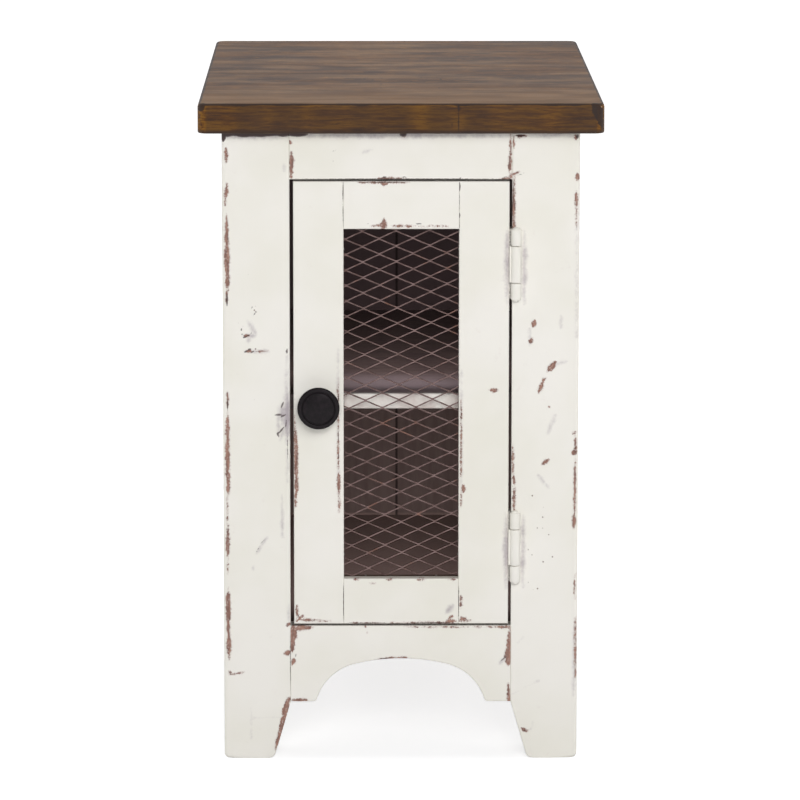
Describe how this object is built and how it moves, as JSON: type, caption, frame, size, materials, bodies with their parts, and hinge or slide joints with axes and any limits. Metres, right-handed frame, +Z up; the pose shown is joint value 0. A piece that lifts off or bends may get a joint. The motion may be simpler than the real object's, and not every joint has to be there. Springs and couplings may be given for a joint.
{
  "type": "side table",
  "caption": "Narrow side table: overhanging wood top, tapered corner legs, arched aprons, and a cabinet with a shelf behind a hinged mesh door.",
  "frame": {"origin": "on the floor, under the middle of the table", "axes": "+Z up, the door faces -Y, +X to the right as seen from the front"},
  "size_m": [0.365, 0.615, 0.605],
  "materials": {
    "painted_wood": "warm white paint, satin, rubbed through to brown wood along the edges",
    "stained_top": "grey-brown weathered stain, matt, with dark worn edges",
    "brown_interior": "dark brown stain, matt",
    "bare_wood": "planed, unfinished",
    "aged_mesh": "aged brown-grey, matt",
    "black_knob": "satin black",
    "painted_hinge": "painted over in the cabinet's white",
    "white_plastic": "moulded, matt",
    "dark_magnet": "sintered, dull",
    "zinc_steel": "zinc plated"
  },
  "bodies": {
    "cabinet": {"back_panel": "brown_interior", "cabinet_floor": "brown_interior", "catch_case": "white_plastic", "catch_magnet": "dark_magnet", "catch_screws": "zinc_steel", "cleat_screws": "zinc_steel", "floor_cleat_left": "bare_wood", "floor_cleat_right": "bare_wood", "frame_dowels": "bare_wood", "front_apron": "painted_wood", "front_leg_left": "painted_wood", "front_leg_right": "painted_wood", "front_top_rail": "painted_wood", "hinge_leg_screws": "zinc_steel", "hinge_lower_leg_leaf": "painted_hinge", "hinge_lower_pin": "painted_hinge", "hinge_upper_leg_leaf": "painted_hinge", "hinge_upper_pin": "painted_hinge", "rear_apron": "painted_wood", "rear_leg_left": "painted_wood", "rear_leg_right": "painted_wood", "rear_top_rail": "painted_wood", "shelf": "painted_wood", "shelf_cleat_left": "bare_wood", "shelf_cleat_right": "bare_wood", "side_apron_left": "painted_wood", "side_apron_right": "painted_wood", "side_panel_left": "painted_wood", "side_panel_right": "painted_wood", "side_stile_front_left": "painted_wood", "side_stile_front_right": "painted_wood", "side_stile_rear_left": "painted_wood", "side_stile_rear_right": "painted_wood", "side_top_rail_left": "painted_wood", "side_top_rail_right": "painted_wood", "table_top": "stained_top", "top_cleat_front": "bare_wood", "top_cleat_rear": "bare_wood", "top_screws": "zinc_steel"},
    "door": {"catch_strike": "zinc_steel", "door_dowels": "bare_wood", "door_knob": "black_knob", "door_mesh": "aged_mesh", "door_rail_bottom": "painted_wood", "door_rail_top": "painted_wood", "door_stile_left": "painted_wood", "door_stile_right": "painted_wood", "hinge_door_screws": "zinc_steel", "hinge_lower_door_leaf": "painted_hinge", "hinge_upper_door_leaf": "painted_hinge", "knob_screw": "zinc_steel", "mesh_brads": "zinc_steel", "mesh_strip_bottom": "bare_wood", "mesh_strip_left": "bare_wood", "mesh_strip_right": "bare_wood", "mesh_strip_top": "bare_wood", "strike_screw": "zinc_steel"}
  },
  "joints": [
    {"name": "door_hinge", "type": "hinge", "parent": "cabinet", "child": "door", "pos_m": [0.10405, -0.289, 0.32775], "axis": [0, 0, 1], "range_deg": [0, 170]}
  ]
}
